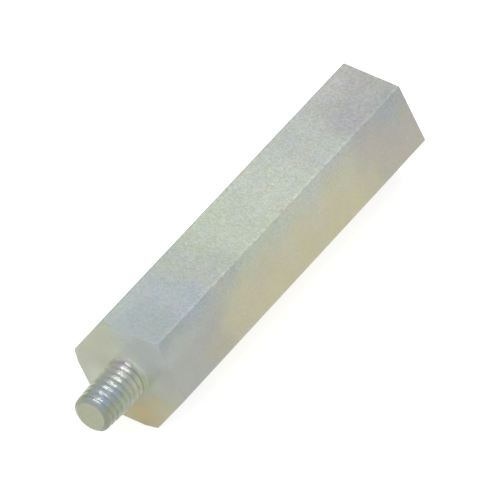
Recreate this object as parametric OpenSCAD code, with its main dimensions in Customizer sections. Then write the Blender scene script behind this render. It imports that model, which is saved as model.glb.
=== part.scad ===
// Male-female hexagonal standoff, turned in one piece from drawn hexagonal
// steel bar. It lies on one of its flats: X runs along the bar from the
// threaded stud towards the tapped end, and Z is up. The origin is on the
// surface it lies on, under the middle of its overall length.

/* [Hexagonal body] */
// Width of the bar across two opposite flats
across_flats = 10; // [8:0.5:14]
// Length of the hexagonal body from the stud's shoulder to the tapped end
body_len = 40; // [25:1:100]
// Rounding radius of the six drawn corners along the bar
corner_r = 0.2; // [0.1:0.05:0.4]
// Diameter of the flat shoulder that the corner chamfer leaves, as a share of the width across flats
shoulder_ratio = 1.05; // [1.02:0.01:1.08]
// Angle of the corner chamfer at the stud end, measured from the shoulder's plane
chamfer_angle = 30; // [15:1:45]

/* [Threaded stud] */
// Outer diameter of the stud, over the crests of its thread
stud_d = 4; // [3:0.5:5]
// Length of the stud from the shoulder to its tip
stud_len = 6; // [5:0.5:20]
// Diameter of the stud's flat tip, as a share of the stud's outer diameter
stud_tip_ratio = 0.775; // [0.7:0.005:0.85]

/* [Tapped hole] */
// Diameter of the tapped hole's core, drilled before its thread is cut
core_d = 3.3; // [2.5:0.1:3.9]
// Depth of the drilled hole, without its pointed bottom
core_depth = 12; // [8:0.5:16]
// Full angle of the drill's point
drill_angle = 118; // [90:1:140]
// Diameter of the countersink at the hole's mouth
mouth_d = 4.3; // [4:0.1:5]

/* [Hidden] */

$fn = 96;

hex_r = across_flats / 2 / cos(30);       // centre to a sharp corner
axis_z = across_flats / 2;                // height of the bar's axis
total_len = stud_len + body_len;
shoulder_x = -total_len / 2 + stud_len;   // plane of the stud's shoulder
tap_x = shoulder_x + body_len;            // plane of the tapped end

stud_r = stud_d / 2;
tip_r = stud_d * stud_tip_ratio / 2;
core_r = core_d / 2;
mouth_r = mouth_d / 2;

// Centre of a corner's rounding: its circle stands a hair proud of the two
// flats, so that it meets each of them along one definite line
meet_angle = 6;
corner_c = hex_r - corner_r * cos(meet_angle) / sin(60);

// What the rounding takes off one sharp corner, which points along X
module corner_waste() {
    difference() {
        translate([corner_c + corner_r * cos(30), -corner_r])
            square([corner_r, 2 * corner_r]);
        translate([corner_c, 0]) circle(r = corner_r, $fn = 48);
    }
}

// Cross-section of the drawn bar, with its six corners rounded
module bar_section() {
    difference() {
        circle(r = hex_r, $fn = 6);
        for (k = [0:5]) rotate(60 * k) corner_waste();
    }
}

// The bar with its corners chamfered by a cone at the stud end
module bar() {
    shoulder_r = across_flats * shoulder_ratio / 2;
    out_r = hex_r + 0.5;
    rise = (out_r - shoulder_r) * tan(chamfer_angle);
    intersection() {
        linear_extrude(height = body_len) bar_section();
        rotate_extrude()
            polygon([[0, 0], [shoulder_r, 0], [out_r, rise],
                     [out_r, body_len + 1], [0, body_len + 1]]);
    }
}

// The stud below the shoulder's plane: the outside of its thread, with the
// lead-in chamfer at the tip
module stud() {
    lead = stud_r - tip_r;
    rotate_extrude()
        polygon([[0, 0.5], [stud_r, 0.5], [stud_r, -stud_len + lead],
                 [tip_r, -stud_len], [0, -stud_len]]);
}

// What the drill, tap and countersink take out of the other end
module tapped_hole() {
    point = core_r / tan(drill_angle / 2);
    sink = mouth_r - core_r;
    rotate_extrude()
        polygon([[0, body_len - core_depth - point],
                 [core_r, body_len - core_depth],
                 [core_r, body_len - sink],
                 [mouth_r, body_len],
                 [mouth_r + 1, body_len + 1], [0, body_len + 1]]);
}

module hex_standoff() {
    color([0.71, 0.72, 0.66])
    translate([shoulder_x, 0, axis_z])
    rotate([90, 0, 90])
    difference() {
        union() {
            bar();
            stud();
        }
        tapped_hole();
    }
}

hex_standoff();
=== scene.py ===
import math

import bpy
import numpy as np
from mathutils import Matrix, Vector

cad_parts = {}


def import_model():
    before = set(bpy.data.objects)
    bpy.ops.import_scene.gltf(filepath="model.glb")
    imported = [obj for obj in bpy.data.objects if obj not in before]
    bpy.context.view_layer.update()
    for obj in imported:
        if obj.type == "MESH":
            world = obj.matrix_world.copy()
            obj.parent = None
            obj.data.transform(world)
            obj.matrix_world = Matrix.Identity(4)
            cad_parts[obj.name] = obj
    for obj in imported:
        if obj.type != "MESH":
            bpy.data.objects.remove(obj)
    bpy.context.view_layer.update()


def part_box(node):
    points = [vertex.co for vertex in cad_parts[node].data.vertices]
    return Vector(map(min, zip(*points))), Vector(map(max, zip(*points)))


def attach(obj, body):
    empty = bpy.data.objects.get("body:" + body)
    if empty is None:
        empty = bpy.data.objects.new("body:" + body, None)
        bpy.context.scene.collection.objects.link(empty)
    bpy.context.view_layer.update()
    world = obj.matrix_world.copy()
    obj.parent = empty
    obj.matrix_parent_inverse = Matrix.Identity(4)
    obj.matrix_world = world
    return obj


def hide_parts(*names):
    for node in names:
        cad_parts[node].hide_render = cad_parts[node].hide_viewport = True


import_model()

# ---------------------------------------------------------------- dimensions
# Millimetres, in the row frame: the bar's axis is the line y = 0, z = AXIS_Z.
LO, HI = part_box("hex_standoff")
AXIS_Z = (HI.z + LO.z) / 2 * 1000            # 5
FLAT = AXIS_Z                                # axis to a flat
X_TIP = LO.x * 1000                          # -23, the stud's tip
X_SHOULDER = X_TIP + 6.0                     # -17
X_TAP = HI.x * 1000                          # 23, the tapped end

SHOULDER_R = 5.25                            # circle the corner chamfer leaves
CHAMFER = math.radians(30)
CORNER_R = 0.2                               # drawn corners of the bar
EDGE_R = 0.07                                # broken edges of the turned faces

PITCH = 0.7                                  # M4 coarse thread
THREAD_R = 1.995                             # outside of the stud's thread
FLANK_R = 1.830                              # where its flanks end
ROOT_R = 1.730                               # bottom of the narrow groove between them
TIP_R = 1.38                                 # flat of the tip, inside its rounding
COLLAR_R = 1.985                             # plain foot of the stud, past the thread

TAP_CORE_R = 1.65
TAP_ROOT_R = 2.02
MOUTH_R = 2.15
CORE_DEPTH = 12.0
THREAD_DEPTH = 10.0
DRILL_HALF = math.radians(59)

N = 180                                      # points round the axis, 30 a sextant
TH = np.arange(N) * 2 * math.pi / N          # angle from +Y towards +Z


# ---------------------------------------------------------------- mesh helper
class Shell:
    """Vertices and faces of one closed surface, made of rings of N points."""

    def __init__(self):
        self.co, self.nrm, self.faces = [], [], []

    def add(self, co, nrm):
        self.co.append(co)
        self.nrm.append(nrm)
        return len(self.co) - 1

    def ring(self, x, r, n_ax=None, n_rad=None):
        """A ring of radius r (a number or one per angle) at x (the same).
        Its normal is n_ax along X plus n_rad outwards, or is worked out later."""
        x = np.broadcast_to(x, N)
        r = np.broadcast_to(r, N)
        out = np.empty(N, int)
        for i in range(N):
            c, s = math.cos(TH[i]), math.sin(TH[i])
            n = None if n_ax is None else (n_ax, n_rad * c, n_rad * s)
            out[i] = self.add((x[i], r[i] * c, r[i] * s), n)
        return out

    def points(self, pts, nrms):
        return np.array([self.add(tuple(p), tuple(n)) for p, n in zip(pts, nrms)])

    def skin(self, a, b):
        """Joins ring a to ring b, where b lies further along +X on an outside."""
        for i in range(N):
            k = (i + 1) % N
            self.quad(a[i], a[k], b[k], b[i])

    def quad(self, *ids):
        seen = []
        for v in ids:
            if v not in seen:
                seen.append(int(v))
        if len(seen) > 2:
            self.faces.append(seen)

    def cap(self, ring, x, n_ax):
        mid = self.add((x, 0.0, 0.0), (n_ax, 0.0, 0.0))
        for i in range(N):
            k = (i + 1) % N
            if n_ax < 0:
                self.quad(mid, ring[k], ring[i])
            else:
                self.quad(mid, ring[i], ring[k])

    def helix(self, a, b, xa, xb, radius, per, phase, flip=False):
        """Fills the way from ring a (at xa) to ring b (at xb > xa) with lines that
        follow a right-hand helix, so the thread's crests and roots stay sharp."""
        lines = per * int(math.ceil((xb - xa) / PITCH + 1)) + 1
        start = math.floor((xa - phase) / PITCH - 1) * PITCH + phase
        while start + (lines - 1) * PITCH / per < xb:
            lines += per
        idx = np.empty((lines, N), int)
        for j in range(lines):
            for i in range(N):
                x = start + j * PITCH / per + PITCH * TH[i] / (2 * math.pi)
                if x <= xa + 1e-6:
                    idx[j, i] = a[i]
                elif x >= xb - 1e-6:
                    idx[j, i] = b[i]
                else:
                    r = radius(x, TH[i])
                    idx[j, i] = self.add(
                        (x, r * math.cos(TH[i]), r * math.sin(TH[i])), None)
        for j in range(lines - 1):
            for i in range(N):
                if i < N - 1:
                    q = (idx[j, i], idx[j, i + 1], idx[j + 1, i + 1], idx[j + 1, i])
                else:
                    j0, j1 = min(j + per, lines - 1), min(j + 1 + per, lines - 1)
                    q = (idx[j, i], idx[j0, 0], idx[j1, 0], idx[j + 1, i])
                self.quad(*(q[::-1] if flip else q))

    def build(self, name):
        co = np.array(self.co, float)
        co[:, 2] += AXIS_Z
        me = bpy.data.meshes.new(name)
        me.from_pydata((co * 0.001).tolist(), [], self.faces)
        me.validate()
        me.update()
        me.shade_smooth()
        auto = np.zeros(len(co) * 3, np.float32)
        me.vertices.foreach_get("normal", auto)
        auto = auto.reshape(-1, 3)
        for i, n in enumerate(self.nrm):
            if n is not None:
                auto[i] = n
        auto /= np.maximum(np.linalg.norm(auto, axis=1, keepdims=True), 1e-9)
        me.normals_split_custom_set_from_vertices(auto.tolist())
        ob = bpy.data.objects.new(name, me)
        bpy.context.scene.collection.objects.link(ob)
        return ob


# ---------------------------------------------------------------- thread forms
def thread_table(outer, root, crest_w, root_w, soft, groove=0.0, steps=2048):
    """Radius over one pitch of a thread, its edges rounded by blurring, with a
    narrow groove along the middle of its root if groove says how deep."""
    s = (np.arange(steps) / steps - 0.5) * PITCH
    d = np.abs(s)
    t = np.clip((d - crest_w / 2) / ((PITCH - root_w - crest_w) / 2), 0, 1)
    r = outer + (root - outer) * t - groove * np.exp(-((PITCH / 2 - d) / 0.08) ** 2)
    w = np.exp(-0.5 * (s / soft) ** 2)
    w /= w.sum()
    return np.real(np.fft.ifft(np.fft.fft(r) * np.fft.fft(np.fft.ifftshift(w))))


OUT_TABLE = thread_table(THREAD_R + 0.020, FLANK_R - 0.020, 0.14, 0.14, 0.065,
                         groove=FLANK_R - ROOT_R)
IN_TABLE = thread_table(TAP_ROOT_R + 0.010, TAP_CORE_R - 0.010, 0.10, 0.17, 0.026)


def on_helix(table, x, th, phase):
    s = ((x - phase) / PITCH - th / (2 * math.pi)) % 1.0
    f = (s + 0.5) % 1.0 * len(table)
    k = int(f) % len(table)
    return table[k] + (table[(k + 1) % len(table)] - table[k]) * (f - int(f))


def interp(x, pts):
    xs, ys = zip(*pts)
    return float(np.interp(x, xs, ys))


# Outside of the stud that its thread is cut into: tip chamfer and the slight
# taper of a thread cut from a bar's end.
STUD_OUTSIDE = [
    (X_TIP, TIP_R), (X_TIP + 0.05, TIP_R + 0.060), (X_TIP + 0.26, 1.785),
    (X_TIP + 0.50, 1.825), (X_TIP + 1.6, 1.885), (X_TIP + 3.2, 1.955),
    (X_TIP + 4.3, 1.995), (X_SHOULDER, 1.995),
]
# How far the thread itself moves in with that taper, so that it keeps its depth.
TAPER = [(X_TIP + 0.5, 0.045), (X_TIP + 1.6, 0.030), (X_TIP + 3.2, 0.012), (X_TIP + 4.3, 0.0)]
# Where the die stops: the roots climb out to the plain collar at the stud's foot.
RUN_OUT = [(X_TIP, 0.0), (X_SHOULDER - 1.15, 0.0), (X_SHOULDER - 0.95, 1.78),
           (X_SHOULDER - 0.40, COLLAR_R), (X_SHOULDER, COLLAR_R)]
CREST_PHASE = X_SHOULDER - 0.50 * PITCH      # a crest passes here at angle 0


def lumps(x, th):
    """The plating's slight unevenness over the thread, up to about 0.01 mm."""
    return 0.003 * (math.sin(7.1 * x + 3 * th) + math.sin(9.7 * x - 5 * th + 1.3)
                    + math.sin(4.3 * x + 8 * th + 0.4) + 0.7 * math.sin(13.9 * x + 11 * th + 2.1))


def stud_radius(x, th):
    r = on_helix(OUT_TABLE, x, th, CREST_PHASE) - interp(x, TAPER)
    r = min(r, interp(x, STUD_OUTSIDE))
    r = max(r, interp(x, RUN_OUT))
    ends = min(1.0, max(0.0, (x - X_TIP - 0.1) / 0.3), max(0.0, (X_SHOULDER - 0.15 - x) / 0.3))
    return min(r + (lumps(x, th) - 0.006) * ends, 1.998)


def tap_radius(x, th):
    sink = MOUTH_R - (X_TAP - x)
    fade = min(1.0, max(0.0, (x - (X_TAP - THREAD_DEPTH)) / 0.7))
    r = on_helix(IN_TABLE, x, th, X_TAP)
    return max(TAP_CORE_R + (r - TAP_CORE_R) * fade, sink, TAP_CORE_R)


# ---------------------------------------------------------------- hex outline
def hex_outline(inset):
    """N points round the bar's section, moved in by inset, with their normals."""
    corner = (FLAT / math.cos(math.pi / 6)) - CORNER_R / math.cos(math.pi / 6)
    half = FLAT * math.tan(math.pi / 6) - CORNER_R * math.tan(math.pi / 6)
    cross = math.sqrt(RHO_C ** 2 - (FLAT - EDGE_R) ** 2)
    side = np.concatenate([
        np.linspace(-half, -cross, 6)[1:], np.linspace(-cross, cross, 13)[1:-1],
        np.linspace(cross, half, 6)[:-1]])          # 5 + 11 + 5 = 21 points
    pts, nrm = [], []
    for k in range(6):
        a0 = math.radians(60 * k)
        c = np.array([math.cos(a0), math.sin(a0)]) * corner
        for s in np.linspace(-30, 30, 9):           # 9 points
            a = a0 + math.radians(s)
            n = np.array([math.cos(a), math.sin(a)])
            pts.append(c + n * (CORNER_R - inset))
            nrm.append(n)
        a = a0 + math.pi / 6
        n, t = np.array([math.cos(a), math.sin(a)]), np.array([-math.sin(a), math.cos(a)])
        for s in side:
            pts.append(n * (FLAT - inset) + t * s)
            nrm.append(n)
    return np.array(pts), np.array(nrm)


RHO_C = SHOULDER_R + EDGE_R * (1 - 1 / math.cos(CHAMFER)) / math.tan(CHAMFER)


def shifted(arr, k):
    return np.roll(arr, k, axis=0)


def hex_body(sh, inner_start, inner_end):
    """The hexagonal body's outside, from the ring round the stud's foot to the
    ring round the hole's mouth."""
    shift = 4                                       # corner at angle 0 is point 4
    q, n2 = hex_outline(EDGE_R)
    q, n2 = shifted(q, -shift), shifted(n2, -shift)
    rho = np.linalg.norm(q, axis=1)
    er = q / rho[:, None]
    active = rho > RHO_C + 1e-9
    full, _ = hex_outline(0.0)
    full = shifted(full, -shift)

    def lift(x, p2):
        return np.c_[np.broadcast_to(x, len(p2)), p2]

    # flat of the shoulder, out to where its rounding starts
    edge = np.where(active[:, None], er * RHO_C, q)
    rings = []
    inner = np.array([sh.co[i][1:] for i in inner_start])
    prev = inner_start
    for f in (0.2, 0.45, 0.7, 0.88):
        pts = inner + (edge - inner) * f
        ids = sh.points(lift(X_SHOULDER, pts), np.tile((-1.0, 0, 0), (N, 1)))
        sh.skin(prev, ids)
        prev = ids
    # rounding of the shoulder's edge, the chamfer and the rounding into the flats
    cone_x = (rho - SHOULDER_R) * math.tan(CHAMFER) + EDGE_R / math.cos(CHAMFER)
    bx = np.where(active, cone_x, EDGE_R)
    for psi in (0, 15, 30):
        a = math.radians(psi)
        lat = np.where(active[:, None], er, n2)
        nn = np.c_[np.full(N, -math.cos(a)), lat * math.sin(a)]
        base = lift(X_SHOULDER + EDGE_R, edge)
        ids = sh.points(base + nn * EDGE_R, nn)
        sh.skin(prev, ids)
        prev = ids
    for psi in (30, 45, 60, 75, 90):
        f = (psi - 30) / 60
        lat = er * (1 - f) + n2 * f
        lat /= np.linalg.norm(lat, axis=1)[:, None]
        lat = np.where(active[:, None], lat, n2)
        a = math.radians(psi)
        nn = np.c_[np.full(N, -math.cos(a)), lat * math.sin(a)]
        pts = lift(X_SHOULDER + bx, q) + nn * EDGE_R
        if psi == 30:                               # the chamfer itself, where it is
            ids = prev.copy()
            for i in np.nonzero(active)[0]:
                ids[i] = sh.add(tuple(pts[i]), tuple(nn[i]))
        else:
            ids = sh.points(pts, nn)
        sh.skin(prev, ids)
        prev = ids
    # the flats along the bar
    first = X_SHOULDER + 1.0
    side_n = np.c_[np.zeros(N), n2]
    for x in np.linspace(first, X_TAP - 1.0, 20):
        ids = sh.points(lift(x, full), side_n)
        sh.skin(prev, ids)
        prev = ids
    # rounding into the tapped end's face
    for psi in (0, 22.5, 45, 67.5, 90):
        a = math.radians(psi)
        nn = np.c_[np.full(N, math.sin(a)), n2 * math.cos(a)]
        ids = sh.points(lift(X_TAP - EDGE_R, q) + nn * EDGE_R, nn)
        sh.skin(prev, ids)
        prev = ids
    inner = np.array([sh.co[i][1:] for i in inner_end])
    for f in (0.12, 0.3, 0.55, 0.8):
        pts = q + (inner - q) * f
        ids = sh.points(lift(X_TAP, pts), np.tile((1.0, 0, 0), (N, 1)))
        sh.skin(prev, ids)
        prev = ids
    sh.skin(prev, inner_end)


def make_standoff():
    sh = Shell()
    # the stud: tip, thread, collar
    tip = [sh.ring(X_TIP, r, -1.0, 0.0) for r in (0.35, 0.75, 1.15, TIP_R - 0.03)]
    sh.cap(tip[0], X_TIP, -1.0)
    for a, b in zip(tip, tip[1:]):
        sh.skin(a, b)
    e0 = sh.ring(X_TIP + 0.012, TIP_R + 0.010, -0.92, 0.39)
    sh.skin(tip[-1], e0)
    foot = 0.08                                      # fillet at the stud's foot
    xa, xb = X_TIP + 0.05, X_SHOULDER - foot - 0.04
    ra = sh.ring(xa, TIP_R + 0.060)
    sh.skin(e0, ra)
    rb = sh.ring(xb, COLLAR_R)
    sh.helix(ra, rb, xa, xb, stud_radius, 18, CREST_PHASE)
    prev = rb
    for d in (0, 22.5, 45, 67.5, 90):
        a = math.radians(d)
        ids = sh.ring(X_SHOULDER - foot * (1 - math.sin(a)),
                      COLLAR_R + foot * (1 - math.cos(a)),
                      -math.sin(a), math.cos(a))
        sh.skin(prev, ids)
        prev = ids
    # the hole's mouth, whose edge is broken
    mouth = sh.ring(X_TAP, MOUTH_R + 0.05, 1.0, 0.0)
    hex_body(sh, prev, mouth)
    m1 = sh.ring(X_TAP - 0.012, MOUTH_R + 0.012, 0.92, -0.39)
    sh.skin(mouth, m1)
    ma = sh.ring(X_TAP - 0.05, MOUTH_R - 0.05)
    sh.skin(m1, ma)
    xend = X_TAP - THREAD_DEPTH - 0.5
    mb = sh.ring(xend, TAP_CORE_R)
    # inside surfaces run the other way round: b further along +X is the mouth
    sh.helix(mb, ma, xend, X_TAP - 0.05, tap_radius, 10, X_TAP, flip=True)
    prev = mb
    for x in (X_TAP - CORE_DEPTH + 0.6, X_TAP - CORE_DEPTH):
        ids = sh.ring(x, TAP_CORE_R, 0.0, -1.0)
        sh.skin(prev, ids)
        prev = ids
    drill = (math.sin(DRILL_HALF), -math.cos(DRILL_HALF))
    for r in (TAP_CORE_R - 0.02, 1.1, 0.55, 0.15):
        x = X_TAP - CORE_DEPTH - (TAP_CORE_R - r) / math.tan(DRILL_HALF)
        ids = sh.ring(x, r, *drill)
        sh.skin(prev, ids)
        prev = ids
    x = X_TAP - CORE_DEPTH - TAP_CORE_R / math.tan(DRILL_HALF)
    mid = sh.add((x, 0, 0), (1.0, 0, 0))
    for i in range(N):
        k = (i + 1) % N
        sh.quad(mid, prev[i], prev[k])
    return sh.build("zinc_standoff")


# ---------------------------------------------------------------- material
class Nodes:
    """Short names for making a node tree."""

    def __init__(self, tree):
        self.t = tree

    def new(self, kind, **props):
        n = self.t.nodes.new(kind)
        for k, v in props.items():
            setattr(n, k, v)
        return n

    def put(self, sock, value):
        if isinstance(value, bpy.types.NodeSocket):
            self.t.links.new(value, sock)
        elif isinstance(value, tuple) and len(value) == 3 and sock.type == "RGBA":
            sock.default_value = (*value, 1.0)
        elif value is not None:
            sock.default_value = value

    def math(self, op, a, b=None, c=None, clamp=False):
        n = self.new("ShaderNodeMath", operation=op, use_clamp=clamp)
        for s, v in zip(n.inputs, (a, b, c)):
            self.put(s, v)
        return n.outputs[0]

    def add(self, *v):
        out = v[0]
        for w in v[1:]:
            out = self.math("ADD", out, w)
        return out

    def mul(self, a, b):
        return self.math("MULTIPLY", a, b)

    def sub(self, a, b):
        return self.math("SUBTRACT", a, b)

    def step(self, v, lo, hi, to_lo=0.0, to_hi=1.0, smooth=True):
        n = self.new("ShaderNodeMapRange", clamp=True,
                     interpolation_type="SMOOTHSTEP" if smooth else "LINEAR")
        for s, x in zip(n.inputs, (v, lo, hi, to_lo, to_hi)):
            self.put(s, x)
        return n.outputs[0]

    def vec(self, x, y, z):
        n = self.new("ShaderNodeCombineXYZ")
        for s, v in zip(n.inputs, (x, y, z)):
            self.put(s, v)
        return n.outputs[0]

    def madd(self, vec, k, add):
        n = self.new("ShaderNodeVectorMath", operation="MULTIPLY_ADD")
        self.put(n.inputs[0], vec)
        n.inputs[1].default_value, n.inputs[2].default_value = k, add
        return n.outputs[0]

    def split(self, vec):
        n = self.new("ShaderNodeSeparateXYZ")
        self.put(n.inputs[0], vec)
        return tuple(n.outputs)

    def noise(self, vec, scale, detail=2.0, rough=0.5, distort=0.0):
        n = self.new("ShaderNodeTexNoise", noise_dimensions="3D")
        self.put(n.inputs["Vector"], vec)
        n.inputs["Scale"].default_value = scale
        n.inputs["Detail"].default_value = detail
        n.inputs["Roughness"].default_value = rough
        n.inputs["Distortion"].default_value = distort
        return n.outputs[0]

    def ramp(self, fac, stops, mode="EASE"):
        n = self.new("ShaderNodeValToRGB")
        n.color_ramp.interpolation = mode
        el = n.color_ramp.elements
        while len(el) < len(stops):
            el.new(0.5)
        for e, (p, c) in zip(el, stops):
            e.position = p
            e.color = (*c, 1.0) if len(c) == 3 else c
        self.put(n.inputs[0], fac)
        return n.outputs[0]

    def curve(self, v, pts):
        """A smooth function of one number, through a few points."""
        n = self.new("ShaderNodeFloatCurve")
        c = n.mapping.curves[0]
        lo = min(p[0] for p in pts)
        hi = max(p[0] for p in pts)
        n.mapping.clip_min_y, n.mapping.clip_max_y = -1.0, 2.0
        while len(c.points) < len(pts):
            c.points.new(0.5, 0.5)
        for cp, (x, y) in zip(c.points, pts):
            cp.location = ((x - lo) / (hi - lo), y)
        n.mapping.update()
        self.put(n.inputs["Value"], self.step(v, lo, hi, smooth=False))
        return n.outputs[0]

    def mix(self, fac, a, b):
        n = self.new("ShaderNodeMix", data_type="RGBA", clamp_factor=True)
        self.put(n.inputs[0], fac)
        self.put(n.inputs[6], a)
        self.put(n.inputs[7], b)
        return n.outputs[2]

    def scale_color(self, color, k):
        n = self.new("ShaderNodeVectorMath", operation="SCALE")
        self.put(n.inputs[0], color)
        self.put(n.inputs["Scale"], k)
        return n.outputs[0]


def srgb(r, g, b):
    out = []
    for v in (r, g, b):
        v /= 255.0
        out.append(v / 12.92 if v <= 0.04045 else ((v + 0.055) / 1.055) ** 2.4)
    return tuple(out)


def zinc_material():
    """Zinc plating under a thin passivation film: a satin grey metal whose film
    gives it a faint blue, green, straw or brown cast from place to place."""
    mat = bpy.data.materials.new("zinc_plating")
    mat.use_nodes = True
    t = mat.node_tree
    t.nodes.clear()
    g = Nodes(t)
    out = g.new("ShaderNodeOutputMaterial")
    bsdf = g.new("ShaderNodeBsdfPrincipled")
    t.links.new(bsdf.outputs[0], out.inputs[0])
    bsdf.inputs["Metallic"].default_value = 0.50
    bsdf.inputs["Coat Weight"].default_value = 0.40      # the clear passivation seal
    bsdf.inputs["Coat IOR"].default_value = 1.8
    bsdf.inputs["Coat Roughness"].default_value = 0.09

    # position in millimetres: x from the shoulder along the bar, y and z from its axis
    coord = g.new("ShaderNodeTexCoord").outputs["Object"]
    mm = g.madd(coord, (1000.0,) * 3, (-X_SHOULDER, 0.0, -AXIS_Z))
    x, y, z = g.split(mm)
    rad = g.math("SQRT", g.add(g.mul(y, y), g.mul(z, z)))
    ang = g.math("ARCTAN2", z, y)                        # from +Y towards +Z

    # every zone's border wanders with this slow noise
    wob = g.new("ShaderNodeTexNoise", noise_dimensions="3D")
    t.links.new(mm, wob.inputs["Vector"])
    wob.inputs["Scale"].default_value = 0.30
    wob.inputs["Detail"].default_value = 3.0
    wob.inputs["Roughness"].default_value = 0.55
    off = g.madd(wob.outputs["Color"], (6.0, 3.0, 3.0), (-3.0, -1.5, -1.5))
    warp = g.new("ShaderNodeVectorMath", operation="ADD")
    t.links.new(mm, warp.inputs[0])
    t.links.new(off, warp.inputs[1])
    warp = warp.outputs[0]
    wx, wy, wz = g.split(warp)
    stir = g.new("ShaderNodeTexNoise", noise_dimensions="3D")
    t.links.new(mm, stir.inputs["Vector"])
    stir.inputs["Scale"].default_value = 1.6
    near = g.new("ShaderNodeVectorMath", operation="ADD")
    t.links.new(mm, near.inputs[0])
    t.links.new(g.madd(stir.outputs["Color"], (0.9,) * 3, (-0.45,) * 3), near.inputs[1])
    near = near.outputs[0]

    def zone(centre, size, full=0.2, none=1.2):
        """1 around a point, 0 beyond about size from it."""
        d = g.madd(warp, [1 / s for s in size], [-c / s for c, s in zip(centre, size)])
        n = g.new("ShaderNodeVectorMath", operation="LENGTH")
        t.links.new(d, n.inputs[0])
        return g.step(n.outputs["Value"], none, full)

    def spot(centre, size):
        """As zone, for a small mark whose edge only wavers a little."""
        d = g.madd(near, [1 / s for s in size], [-c / s for c, s in zip(centre, size)])
        n = g.new("ShaderNodeVectorMath", operation="LENGTH")
        t.links.new(d, n.inputs[0])
        return g.step(n.outputs["Value"], 1.15, 0.15)

    def along(stops):
        """Colours met one after another along the bar, each (from, to, colour)."""
        col = stops[0][2]
        for (_, a, _), (b, _, c) in zip(stops, stops[1:]):
            col = g.mix(g.step(wx, a, b), col, c)
        return col

    slow = g.noise(mm, 0.23, 2.0, 0.5)                   # 4 mm clouds
    mid = g.noise(mm, 0.60, 3.0, 0.55)                   # 2 mm clouds
    grain = g.noise(mm, 2.6, 3.0, 0.65)                  # crystal grain of the plating
    fine = g.noise(mm, 6.5, 2.0, 0.6)

    # the hexagonal body, upper side and lower side
    upper = along([(0, 3.0, srgb(152, 160, 160)), (4.5, 6.5, srgb(157, 164, 165)),
                   (8.5, 11.0, srgb(161, 167, 159)), (15.0, 18.0, srgb(170, 178, 165)),
                   (21.0, 24.5, srgb(173, 179, 169)), (28.5, 30.5, srgb(168, 173, 167)),
                   (34.0, 40.0, srgb(160, 161, 158))])
    lower = along([(0, 6.0, srgb(160, 162, 156)), (11.5, 16.0, srgb(176, 175, 152)),
                   (18.0, 29.0, srgb(179, 178, 155)), (35.0, 40.0, srgb(165, 162, 153))])
    height = g.add(wz, g.mul(wy, 0.3))
    low = g.step(height, 4.65, 1.4)
    body = g.mix(low, upper, lower)
    body = g.mix(g.mul(g.step(height, 1.8, -0.8), g.step(wx, 4.5, 12.5)), body,
                 g.mix(g.step(wx, 30.0, 35.0), srgb(180, 176, 147), srgb(168, 165, 152)))
    for centre, size, amount, c in BODY_TINTS:
        body = g.mix(g.mul(zone(centre, size), amount), body, c)

    # faced shoulder: olive to the left, grey by the ridge, an orange stain at the bottom
    face = g.mix(g.step(wy, 3.0, 0.0), srgb(160, 163, 145), srgb(157, 164, 160))
    face = g.mix(g.step(wy, -1.5, -4.5), face, srgb(153, 154, 147))
    face = g.mix(g.step(g.add(wz, g.mul(wy, 0.35)), -1.0, -3.4), face, srgb(157, 155, 133))
    face = g.mix(zone((0.0, -1.2, -3.6), (9, 2.7, 2.4)), face, srgb(171, 159, 122))
    face = g.mix(g.mul(zone((0.0, 0.4, -4.4), (9, 1.8, 1.8)), 0.8), face, srgb(178, 174, 135))
    face = g.mix(g.mul(zone((0.0, -2.0, 3.7), (9, 2.4, 1.7)), 0.85), face, srgb(166, 170, 167))
    # painted light: the face is lightened close round the stud's foot, most of all above it, against
    # the shade the stud casts there
    cy, cz = 2.1 * math.cos(math.radians(104)), 2.1 * math.sin(math.radians(104))
    above = g.step(g.math("COSINE", g.sub(ang, math.radians(97))), 0.30, 1.0, smooth=False)
    foot = g.step(rad, 3.8, 2.1, smooth=False)
    face = g.mix(g.mul(g.mul(foot, above), 0.62), face,
                 g.mix(0.5, g.scale_color(face, 1.55), srgb(201, 200, 184)))
    # painted light: a little lighter still within 3 mm of the axis, against the shade in the corner
    # with the stud
    face = g.scale_color(face, g.add(1.0, g.mul(g.step(rad, 3.0, 2.1), 0.06)))
    face = g.mix(g.mul(spot((0.0, -2.45, 0.2), (0.6, 0.9, 1.4)), 0.75), face, srgb(160, 165, 144))
    face = g.mix(g.mul(spot((0.0, -1.35, -3.55), (0.6, 1.0, 0.8)), 0.75), face, srgb(181, 161, 123))
    face = g.mix(g.mul(spot((0.0, cy, cz), (0.5, 0.35, 0.35)), 0.6), face, (0.52, 0.53, 0.26))
    bevel = g.math("ABSOLUTE", g.sub(x, g.mul(g.sub(rad, SHOULDER_R), math.tan(CHAMFER))))
    bevel = g.mul(g.step(bevel, 0.10, 0.04), g.step(rad, SHOULDER_R - 0.05, SHOULDER_R + 0.05))
    on_face = g.math("MAXIMUM", g.step(x, 0.08, 0.01), bevel)
    # painted light: the face is lightened low beside the stud, where the stud shades it; across the
    # face it is scaled from 1.015 to 0.965
    painted_light_by_stud = zone((0.0, 2.6, -2.4), (9, 1.8, 2.2))
    face = g.scale_color(face, g.add(g.step(wy, 2.0, -4.0, 1.015, 0.965), g.mul(painted_light_by_stud, 0.17)))
    # painted shade: the shoulder's chamfer is darkened and greyed, so the light it catches hardly
    # stands out
    face = g.mix(g.mul(bevel, 0.5), face, g.mix(0.25, g.scale_color(face, 0.86), srgb(138, 150, 158)))
    # painted shade: the chamfer beside the upper ridge is darkened further, so its brighter lighting
    # hardly stands out
    shade_by_ridge = g.mul(bevel, g.step(g.math("COSINE", g.sub(ang, math.radians(120))), 0.966, 0.985))
    face = g.scale_color(face, g.sub(1.0, g.mul(shade_by_ridge, 0.13)))
    col = g.mix(on_face, body, face)
    # painted shade: the broken edge between the top flat and the shoulder is a little darkened against
    # the highlight it catches
    shaded_rim = g.mul(g.step(g.math("ABSOLUTE", g.sub(x, 0.03)), 0.10, 0.03), g.step(z, 4.86, 4.94))
    col = g.scale_color(col, g.sub(1.0, g.mul(shaded_rim, 0.09)))
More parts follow.
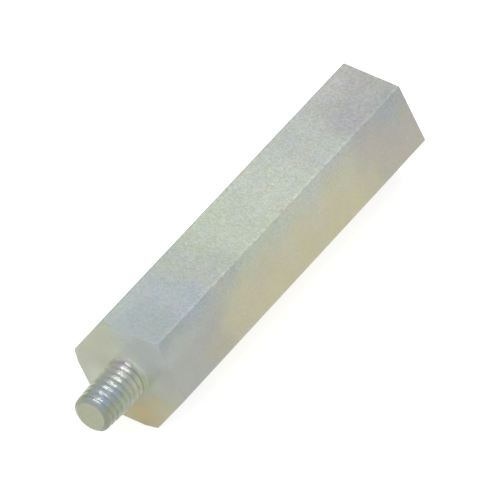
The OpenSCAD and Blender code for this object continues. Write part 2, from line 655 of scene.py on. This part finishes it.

    # stud: olive, under a bluish film on top
    olive = g.mix(g.step(mid, 0.40, 0.62), srgb(137, 146, 124), srgb(143, 150, 132))
    film = g.step(g.math("COSINE", g.sub(ang, math.radians(104))), 0.70, 0.93)
    blue = g.mix(g.step(mid, 0.38, 0.62), srgb(131, 141, 138), srgb(134, 145, 146))
    stud = g.mix(film, olive, g.mix(g.step(x, -4.4, -1.6), blue, srgb(129, 134, 126)))
    under = g.step(g.math("COSINE", g.sub(ang, math.radians(178))), 0.50, 0.97)
    dull = g.step(g.math("COSINE", g.sub(ang, math.radians(190))), 0.30, 0.90)
    left = g.step(g.math("COSINE", g.sub(ang, math.radians(60))), 0.80, 0.97)
    # painted light: the stud is lightened towards the shoulder, most of all underneath and on its
    # upper +Y side, against the shade the shoulder casts there, and darkened towards its tip
    fade = g.mul(g.step(x, -5.6, -0.6, 0.92, 1.06, smooth=False),
                 g.add(1.0, g.mul(under, g.step(x, -5.6, -0.6, -0.16, 0.18, smooth=False)),
                       g.mul(left, g.step(x, -5.0, -0.6, 0.06, 0.22, smooth=False))))
    stud = g.scale_color(stud, fade)
    # painted light: its plain collar is lightened, most of all on top, against the shade of its corner
    # with the shoulder, close to the shoulder's own grey
    crown = g.math("COSINE", g.sub(ang, math.radians(98)))
    stud = g.scale_color(stud, g.step(x, -0.58, -0.28, 1.0, g.step(crown, 0.60, 0.90, 1.30, 1.62)))
    for (cx, ca), size, amount, c in STUD_TINTS:
        cy, cz = 1.9 * math.cos(math.radians(ca)), 1.9 * math.sin(math.radians(ca))
        stud = g.mix(g.mul(spot((cx, cy, cz), size), amount), stud, c)
    # painted light: a pale ring on top of the collar, next to the shoulder, against the shade there
    stud = g.mix(g.mul(g.step(x, -0.42, -0.20), g.step(crown, 0.72, 0.95, 0.0, 0.9)), stud,
                 srgb(198, 198, 191))
    for where, wide, narrow, (x0, x1), cast_and_light in STUD_CASTS_AND_LIGHT:
        side = g.step(g.math("COSINE", g.sub(ang, math.radians(where))),
                      math.cos(math.radians(wide)), math.cos(math.radians(narrow)))
        side = g.mul(side, g.step(x, x0, x1))
        dyed = g.new("ShaderNodeVectorMath", operation="MULTIPLY")
        t.links.new(stud, dyed.inputs[0])
        t.links.new(g.mix(side, (1.0, 1.0, 1.0), cast_and_light), dyed.inputs[1])
        stud = dyed.outputs[0]
    tip = g.mix(slow, srgb(140, 145, 121), srgb(146, 149, 128))
    # painted shade: the rim of the tip is darkened, except under the top film, against the pale
    # reflection it catches
    shaded_lip = g.mul(g.step(x, -5.55, -5.85), g.sub(1.0, film))
    stud = g.scale_color(stud, g.sub(1.0, g.mul(shaded_lip, 0.14)))
    stud = g.mix(g.step(rad, 1.44, 1.36), stud, tip)
    is_stud = g.step(x, 0.0, -0.08)
    col = g.mix(is_stud, col, stud)
    in_hole = g.mul(g.step(rad, 2.3, 2.1), g.step(x, 26.0, 27.0))
    col = g.mix(in_hole, col, srgb(163, 168, 156))

    # tone of the grain, pale specks and small dull pits; it is frostier on top, where
    # the film is thin, and calmer on the faced shoulder
    cell = g.new("ShaderNodeTexVoronoi", feature="F1")
    t.links.new(mm, cell.inputs["Vector"])
    cell.inputs["Scale"].default_value = 1.1
    dot = g.step(cell.outputs["Distance"], 0.16, 0.05)
    pick = g.new("ShaderNodeSeparateColor")
    t.links.new(cell.outputs["Color"], pick.inputs[0])
    speck = g.mul(dot, g.step(pick.outputs[0], 0.62, 0.72))
    pit = g.mul(dot, g.step(pick.outputs[0], 0.22, 0.14))
    coarse = g.mul(g.mul(g.step(height, 1.0, 5.0, 0.45, 1.3), g.step(wx, 2.0, 9.0, 0.62, 1.0)),
                   g.sub(1.0, g.mul(on_face, 0.20)))
    dust = g.add(g.mul(g.sub(grain, 0.5), 0.24), g.mul(g.sub(fine, 0.5), 0.60),
                 g.mul(speck, 0.16), g.mul(pit, -0.16))
    # along the edge between the top flat and the near one the film is worn thin; the lightening there
    # is also a painted highlight along that edge
    dy, dz = g.add(y, RIDGE_Y), g.sub(z, FLAT)
    ridge = g.step(g.math("SQRT", g.add(g.mul(dy, dy), g.mul(dz, dz))), 0.22, 0.10)
    ridge_streak = g.mul(g.step(grain, 0.36, 0.60, 0.0, 0.13), g.step(mid, 0.40, 0.62, 0.30, 1.1))
    worn_and_highlight = g.mul(g.mul(ridge, g.step(x, 0.2, 0.6)), ridge_streak)
    nick = g.add(x, -20.4)
    nick = g.mul(g.step(g.math("ABSOLUTE", nick), 0.45, 0.10), g.step(ridge, 0.0, 0.6))
    tone = g.add(1.0, g.mul(dust, coarse), g.mul(g.sub(mid, 0.5), 0.10),
                 g.sub(worn_and_highlight, g.mul(nick, 0.16)))
    # flecks of a slightly different tint, a few tenths of a millimetre across
    fleck = g.new("ShaderNodeTexNoise", noise_dimensions="3D")
    t.links.new(mm, fleck.inputs["Vector"])
    fleck.inputs["Scale"].default_value = 0.9
    fleck.inputs["Detail"].default_value = 3.0
    fleck.inputs["Roughness"].default_value = 0.7
    tint = g.madd(fleck.outputs["Color"], (0.22, 0.06, 0.27), (0.89, 0.97, 0.865))
    cloud = g.new("ShaderNodeTexNoise", noise_dimensions="3D")
    t.links.new(mm, cloud.inputs["Vector"])
    cloud.inputs["Scale"].default_value = 0.38
    cloud.inputs["Detail"].default_value = 2.0
    cloud.inputs["Roughness"].default_value = 0.6
    haze = g.madd(cloud.outputs["Color"], (0.14, 0.06, 0.21), (0.93, 0.97, 0.895))
    for dye in (tint, haze):
        dyed = g.new("ShaderNodeVectorMath", operation="MULTIPLY")
        t.links.new(col, dyed.inputs[0])
        t.links.new(dye, dyed.inputs[1])
        col = dyed.outputs[0]
    col = g.scale_color(col, tone)
    t.links.new(col, bsdf.inputs["Base Color"])

    metal = g.step(is_stud, 0.0, 1.0, g.step(on_face, 0.0, 1.0, 0.50, 0.20, smooth=False),
                   g.mul(STUD_METAL, g.sub(1.0, g.mul(dull, 0.8))), smooth=False)
    t.links.new(metal, bsdf.inputs["Metallic"])
    matt = g.step(g.math("COSINE", g.sub(ang, math.radians(5))), 0.45, 0.85)
    matt = g.math("MAXIMUM", g.mul(dull, 0.6), g.mul(matt, 0.85))
    glaze = g.mul(g.step(x, -5.72, -5.50, 0.06, 0.95), g.step(x, -1.1, -0.7, 1.0, 0.35))
    # the seal is patchy, which breaks the glints of the turns into spots
    patch = g.step(g.noise(mm, 3.4, 1.0, 0.5), 0.40, 0.60, 0.05, 1.42)
    glaze = g.mul(g.mul(g.mul(glaze, g.sub(1.0, matt)), patch), is_stud)
    t.links.new(g.add(glaze, g.mul(g.sub(1.0, is_stud), 0.25)), bsdf.inputs["Coat Weight"])
    rough = g.new("ShaderNodeMix", data_type="FLOAT")
    t.links.new(g.math("MAXIMUM", is_stud, in_hole), rough.inputs[0])
    t.links.new(g.add(0.56, g.mul(g.sub(grain, 0.5), 0.24), g.mul(speck, -0.14)), rough.inputs[2])
    t.links.new(g.add(0.25, g.mul(g.sub(grain, 0.5), 0.12)), rough.inputs[3])
    t.links.new(rough.outputs[0], bsdf.inputs["Roughness"])

    bump = g.new("ShaderNodeBump")
    bump.inputs["Strength"].default_value = 0.5
    bump.inputs["Distance"].default_value = 0.00003
    t.links.new(g.mul(g.add(grain, g.mul(fine, 0.6), g.mul(pit, -0.8)), coarse), bump.inputs["Height"])
    t.links.new(bump.outputs[0], bsdf.inputs["Normal"])
    return mat


RIDGE_Y = (FLAT - CORNER_R) * math.tan(math.pi / 6)     # corner's height beside the flat
BODY_TINTS = [                               # centre and size in mm, strength, colour
    ((5.6, -2.2, 5.5), (3.6, 2.4, 1.4), 0.55, (0.312, 0.352, 0.372)),     # blue
    ((1.2, -1.8, 5.0), (2.8, 1.8, 1.0), 0.60, (0.288, 0.330, 0.328)),
    ((3.0, -3.9, 3.6), (4.5, 1.0, 1.3), 0.70, (0.375, 0.400, 0.385)),
    ((34.0, -1.2, 5.0), (3.4, 2.4, 2.2), 0.60, (0.332, 0.328, 0.345)),    # mauve
    ((37.8, -2.6, 4.6), (2.6, 1.6, 1.6), 0.70, (0.300, 0.336, 0.350)),    # pale blue
    ((35.6, 3.2, 5.0), (5.6, 2.7, 2.0), 0.90, (0.415, 0.420, 0.405)),     # light grey
    ((3.0, 3.4, 4.5), (7.0, 2.2, 3.0), 0.70, (0.365, 0.410, 0.385)),
    ((20.0, 3.0, 5.0), (8.0, 1.2, 2.0), 0.35, (0.460, 0.490, 0.390)),     # yellowish green
    ((22.0, -5.2, 1.0), (3.0, 1.0, 1.4), 0.35, (0.440, 0.435, 0.280)),
    ((12.0, -5.0, 1.2), (2.6, 1.2, 1.6), 0.40, (0.460, 0.400, 0.290)),    # orange
    ((7.5, -5.3, 1.0), (4.2, 1.0, 1.6), 0.70, (0.370, 0.360, 0.285)),     # brown
]

# small tints of the film over the stud: (mm from the shoulder, degrees from +Y),
# size in mm, strength, colour
STUD_METAL = 0.25
# broad casts and painted light over the stud: degrees from +Y, outer and inner half width in degrees,
# the stretch over which each comes in, and what it multiplies the colour by
STUD_CASTS_AND_LIGHT = [
    # a less green cast on the upper +Y side
    (58, 42, 18, (-4.6, -1.6), (1.10, 0.99, 1.14)),
    # painted light with a slight cast: these two lighten the stud below its glints and underneath,
    # near the shoulder, against its shade
    (127, 20, 9, (-3.6, -1.3), (1.22, 1.17, 1.23)),
    (170, 34, 16, (-4.5, -1.5), (1.10, 1.03, 1.06)),
]
STUD_TINTS = [
    ((-5.2, 118), (0.55, 0.60, 0.60), 0.70, (0.215, 0.26, 0.36)),
    ((-3.5, 124), (0.60, 0.80, 0.80), 0.60, (0.215, 0.26, 0.36)),
    ((-0.6, 92), (0.80, 0.90, 0.60), 0.38, (0.34, 0.33, 0.36)),
    ((-5.9, 96), (0.35, 0.90, 0.60), 0.50, (0.30, 0.28, 0.31)),
    ((-0.1, 104), (0.30, 0.35, 0.35), 0.70, (0.47, 0.49, 0.22)),
]


# ---------------------------------------------------------------- stage
def camera():
    cam = bpy.data.cameras.new("camera")
    ob = bpy.data.objects.new("camera", cam)
    bpy.context.scene.collection.objects.link(ob)
    cam.sensor_width = 36.0
    cam.lens = 612.7
    cam.clip_start, cam.clip_end = 0.01, 50.0
    az, el, roll = math.radians(-58.504), math.radians(42.720), math.radians(0.897)
    dist = 0.74676
    target = np.array([2.2741, -0.3108, 5.0]) * 0.001
    back = np.array([math.sin(az) * math.cos(el), -math.cos(az) * math.cos(el), math.sin(el)])
    from mathutils import Matrix, Vector
    q = (-Vector(back)).to_track_quat("-Z", "Y")
    turn = Matrix.Rotation(roll, 4, "Z")
    ob.matrix_world = (Matrix.Translation(Vector(target + back * dist))
                       @ q.to_matrix().to_4x4() @ turn)
    bpy.context.scene.camera = ob


def softbox(name, direction, dist, across, along, power, run=(1, 0, 0), aim=(0, 0, 0.005)):
    """A rectangular light: along metres in the direction run, across metres the other way."""
    from mathutils import Matrix, Vector
    li = bpy.data.lights.new(name, "AREA")
    li.shape = "RECTANGLE"
    li.size, li.size_y = across, along
    li.energy = power
    ob = bpy.data.objects.new(name, li)
    d = Vector(direction).normalized()
    y = Vector(run)
    y = (y - y.dot(d) * d).normalized()
    turn = Matrix((y.cross(d), y, d)).transposed().to_4x4()
    ob.matrix_world = Matrix.Translation(Vector(aim) + d * dist) @ turn
    bpy.context.scene.collection.objects.link(ob)
    return ob


def floor():
    me = bpy.data.meshes.new("floor")
    s = 2.0
    me.from_pydata([(-s, -s, 0), (s, -s, 0), (s, s, 0), (-s, s, 0)], [], [(0, 1, 2, 3)])
    ob = bpy.data.objects.new("floor", me)
    bpy.context.scene.collection.objects.link(ob)
    mat = bpy.data.materials.new("pale_floor")
    mat.use_nodes = True
    b = mat.node_tree.nodes["Principled BSDF"]
    b.inputs["Base Color"].default_value = (0.45, 0.45, 0.45, 1)
    b.inputs["Roughness"].default_value = 0.9
    b.inputs["Specular IOR Level"].default_value = 0.1
    b.inputs["Emission Color"].default_value = (1.0, 1.0, 1.0, 1)
    b.inputs["Emission Strength"].default_value = 0.74
    me.materials.append(mat)
    ob.location.z = -0.00002


def world():
    """A light tent: an even white all round, brighter in front, beside the camera,
    and a little at the front right and back left."""
    w = bpy.data.worlds.new("studio")
    bpy.context.scene.world = w
    w.use_nodes = True
    t = w.node_tree
    t.nodes.clear()
    g = Nodes(t)
    out = g.new("ShaderNodeOutputWorld")
    bg = g.new("ShaderNodeBackground")
    t.links.new(bg.outputs[0], out.inputs[0])
    co = g.new("ShaderNodeTexCoord").outputs["Generated"]

    def toward(direction, wide, narrow):
        """1 within narrow degrees of a direction, fading to 0 at wide degrees."""
        n = g.new("ShaderNodeVectorMath", operation="DOT_PRODUCT")
        t.links.new(co, n.inputs[0])
        k = math.sqrt(sum(v * v for v in direction))
        n.inputs[1].default_value = [v / k for v in direction]
        return g.step(n.outputs["Value"], math.cos(math.radians(wide)),
                      math.cos(math.radians(narrow)))

    level = WORLD_BASE
    for direction, wide, narrow, amount in WORLD_SPOTS:
        level = g.add(level, g.mul(toward(direction, wide, narrow), amount))
    level = g.math("MAXIMUM", level, 0.02)
    t.links.new(g.vec(g.mul(level, 1.0), g.mul(level, 1.0), g.mul(level, 1.0)), bg.inputs["Color"])
    bg.inputs["Strength"].default_value = 1.0


WORLD_BASE = 0.31
WORLD_SPOTS = [
    ((-0.74, -0.38, 0.55), 85, 15, 0.54),      # broad front light, beside the camera
    ((0.626, -0.779, 0.0), 80, 20, 0.22),      # front right
    ((-0.626, 0.384, 0.1), 80, 20, 0.05),      # back left
]


# ---------------------------------------------------------------- the scene
bpy.context.scene.view_settings.view_transform = "Standard"
camera()
world()
floor()
softbox("overhead", (0.14, 0.13, 0.985), 0.6, 0.30, 0.22, 2.3)
softbox("strip", (-0.82, 0.03, 0.55), 0.6, 0.40, 0.18, 0.96)
softbox("right", (0.26, -0.21, 0.94), 0.6, 0.20, 0.18, 0.45)

standoff = make_standoff()
standoff.data.materials.append(zinc_material())
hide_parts("hex_standoff")
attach(standoff, "root")
